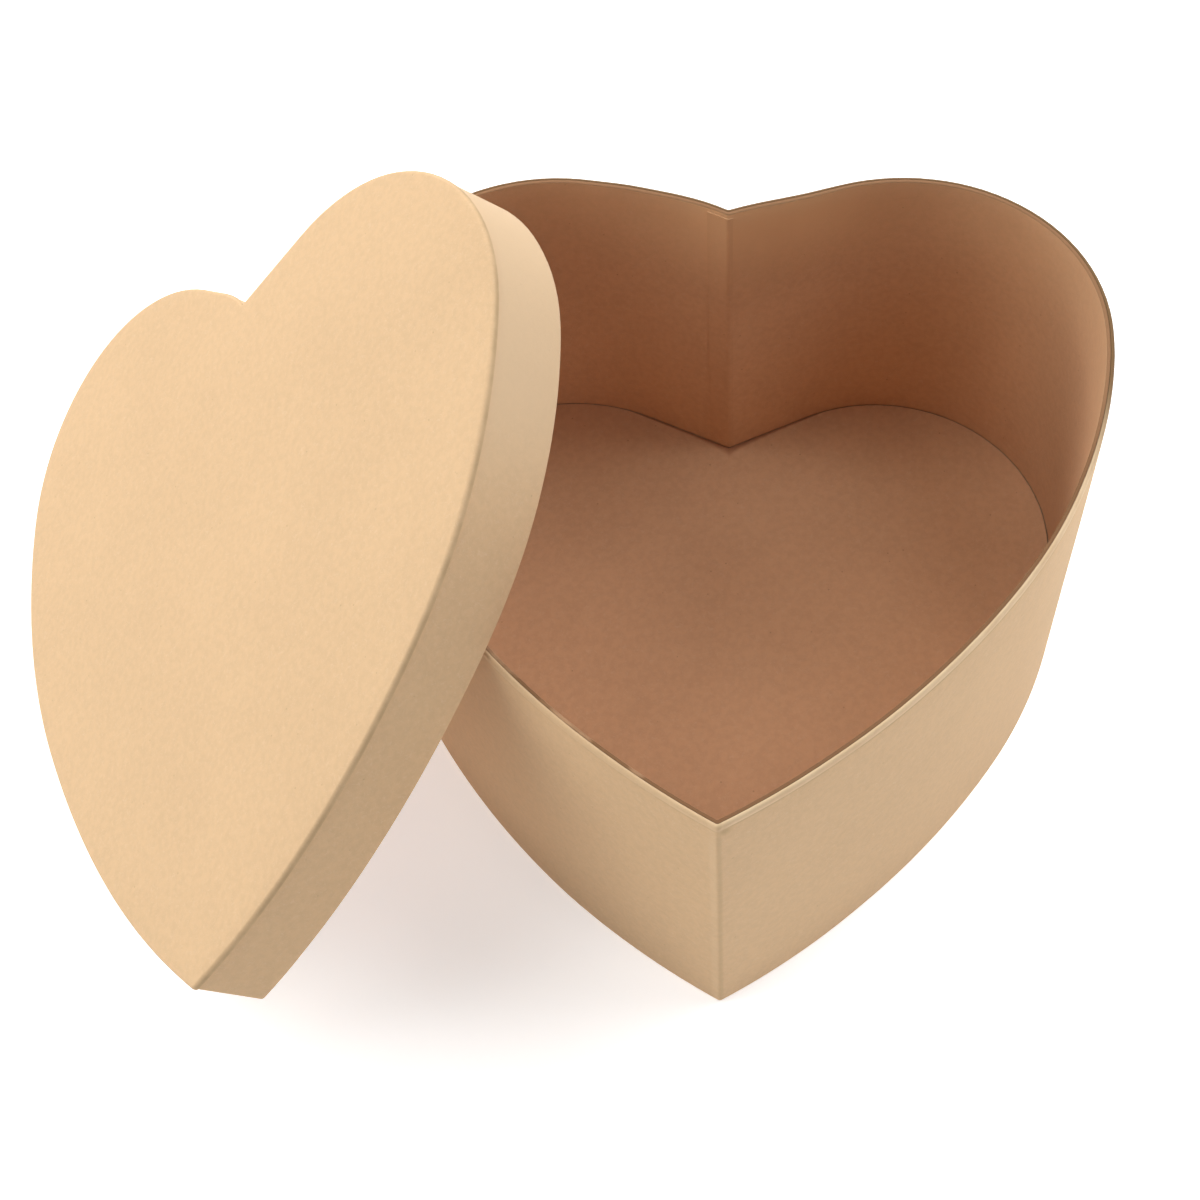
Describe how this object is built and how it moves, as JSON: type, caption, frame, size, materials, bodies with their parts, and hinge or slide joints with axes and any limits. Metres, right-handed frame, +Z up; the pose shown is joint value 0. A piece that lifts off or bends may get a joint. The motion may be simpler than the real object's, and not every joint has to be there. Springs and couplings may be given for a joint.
{
  "type": "heart-shaped gift box",
  "caption": "Heart-shaped rigid gift box of kraft board and paper: an open tray with a lift-off lid leaning on its side.",
  "frame": {"origin": "middle of the tray's underside, on the table", "axes": "+Z up out of the tray's mouth, +Y from the tip of the heart to its cleft, +X to the tray's right, away from the leaning lid"},
  "size_m": [0.2318, 0.1651, 0.117],
  "materials": {
    "kraft_board": "matte grey-brown chipboard",
    "pale_kraft_paper": "matte pale kraft paper with fine fibres",
    "brown_kraft_paper": "matte brown kraft paper with fine fibres"
  },
  "bodies": {
    "tray": {"tray_wall_board": "kraft_board", "tray_base_board": "kraft_board", "tray_wall_wrap": "pale_kraft_paper", "tray_wall_lining": "brown_kraft_paper", "tray_cleft_stay": "brown_kraft_paper", "tray_floor_lining": "brown_kraft_paper", "tray_base_cover": "pale_kraft_paper"},
    "lid": {"lid_rim_board": "kraft_board", "lid_top_board": "kraft_board", "lid_rim_wrap": "pale_kraft_paper", "lid_rim_lining": "brown_kraft_paper", "lid_cleft_stay": "brown_kraft_paper", "lid_top_lining": "brown_kraft_paper", "lid_top_cover": "pale_kraft_paper"}
  },
  "joints": [
    {"name": "lid_lift", "type": "slide", "parent": "tray", "child": "lid", "axis": [-0.6634, -0.1571, 0.7316], "range_m": [0, 0.15]}
  ]
}
